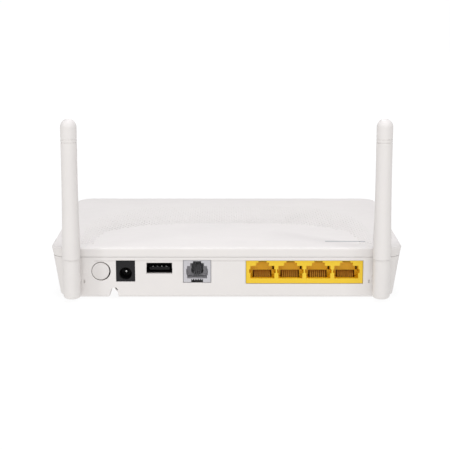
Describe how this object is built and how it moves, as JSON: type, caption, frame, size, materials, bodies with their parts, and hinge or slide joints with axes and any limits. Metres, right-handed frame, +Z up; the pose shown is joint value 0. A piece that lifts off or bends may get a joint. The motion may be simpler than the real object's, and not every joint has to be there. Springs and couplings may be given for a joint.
{
  "type": "optical network terminal",
  "caption": "Flat white optical network terminal with rear sockets, a push power button and two tilting rod antennas.",
  "frame": {"origin": "on the desk, under the centre of the whole object's box", "axes": "+Z up, +Y out of the rear wall with the sockets, +X towards the power button's side"},
  "size_m": [0.176, 0.1476, 0.0915],
  "materials": {
    "white_plastic": "fine satin texture",
    "button_plastic": "satin",
    "black_plastic": "satin",
    "grey_plastic": "satin",
    "yellow_plastic": "semi gloss",
    "clear_plastic": "clear, polished",
    "green_plastic": "semi gloss",
    "nickel_steel": "nickel plated",
    "screw_steel": "zinc plated",
    "gold_plate": "gold flash on spring bronze",
    "board": "solder resist",
    "chip_plastic": "moulded epoxy",
    "aluminium": "extruded, anodised",
    "thermal_rubber": "soft pad",
    "foot_rubber": "matte",
    "label_paper": "satin film",
    "ceramic": "polished zirconia",
    "capacitor_sleeve": "shrunk sleeve",
    "coax_jacket": "smooth jacket"
  },
  "bodies": {
    "case": {"top_cover": "white_plastic", "base_shell": "white_plastic", "rubber_feet": "foot_rubber", "case_screws": "screw_steel", "rating_label": "label_paper", "led_light_guide": "clear_plastic", "status_leds": "clear_plastic", "power_switch_body": "black_plastic", "side_switch_bodies": "nickel_steel", "dc_jack_housing": "black_plastic", "dc_jack_pin": "nickel_steel", "dc_jack_terminals": "nickel_steel", "usb_shell": "nickel_steel", "usb_tongue": "black_plastic", "usb_contacts": "gold_plate", "usb_riser": "black_plastic", "phone_jack_housing": "grey_plastic", "phone_jack_contacts": "gold_plate", "lan_jack_block": "yellow_plastic", "lan_jack_contacts": "gold_plate", "main_pcb": "board", "pcb_screws": "screw_steel", "soc_chip": "chip_plastic", "thermal_pad": "thermal_rubber", "heat_sink": "aluminium", "wifi_chip": "chip_plastic", "wifi_shield_can": "nickel_steel", "memory_chips": "chip_plastic", "slic_chip": "chip_plastic", "lan_transformers": "chip_plastic", "electrolytic_capacitors": "capacitor_sleeve", "power_inductors": "chip_plastic", "crystals": "nickel_steel", "optical_module": "nickel_steel", "sc_adapter": "green_plastic", "ferrule_sleeve": "ceramic", "antenna_lead_left": "coax_jacket", "antenna_lead_right": "coax_jacket", "antenna_connectors": "gold_plate"},
    "antenna_left": {"antenna_left_sleeve": "white_plastic", "antenna_left_knuckle": "white_plastic", "antenna_left_clip": "screw_steel", "antenna_left_radiator": "gold_plate", "antenna_left_coax": "coax_jacket"},
    "antenna_right": {"antenna_right_sleeve": "white_plastic", "antenna_right_knuckle": "white_plastic", "antenna_right_clip": "screw_steel", "antenna_right_radiator": "gold_plate", "antenna_right_coax": "coax_jacket"},
    "power_button": {"power_button_cap": "button_plastic", "power_switch_plunger": "black_plastic"},
    "wlan_button": {"wlan_button_cap": "button_plastic", "wlan_switch_plunger": "black_plastic"},
    "wps_button": {"wps_button_cap": "button_plastic", "wps_switch_plunger": "black_plastic"},
    "reset_button": {"reset_plunger": "black_plastic"},
    "fibre_dust_plug": {"dust_plug": "black_plastic"}
  },
  "joints": [
    {"name": "antenna_left_tilt", "type": "hinge", "parent": "case", "child": "antenna_left", "pos_m": [-0.0768, 0.06465, 0.0108], "axis": [0, -1, 0], "range_deg": [-45, 90]},
    {"name": "antenna_right_tilt", "type": "hinge", "parent": "case", "child": "antenna_right", "pos_m": [0.0768, 0.06465, 0.0108], "axis": [0, 1, 0], "range_deg": [-45, 90]},
    {"name": "power_button_press", "type": "slide", "parent": "case", "child": "power_button", "axis": [0, -1, 0], "range_m": [0, 0.0018], "stiffness_N_per_m": 900},
    {"name": "wlan_button_press", "type": "slide", "parent": "case", "child": "wlan_button", "axis": [1, 0, 0], "range_m": [0, 0.0006], "stiffness_N_per_m": 1500},
    {"name": "wps_button_press", "type": "slide", "parent": "case", "child": "wps_button", "axis": [1, 0, 0], "range_m": [0, 0.0006], "stiffness_N_per_m": 1500},
    {"name": "reset_press", "type": "slide", "parent": "case", "child": "reset_button", "axis": [1, 0, 0], "range_m": [0, 0.0003], "stiffness_N_per_m": 1500},
    {"name": "dust_plug_pull", "type": "slide", "parent": "case", "child": "fibre_dust_plug", "axis": [0, 1, 0], "range_m": [0, 0.014]}
  ]
}
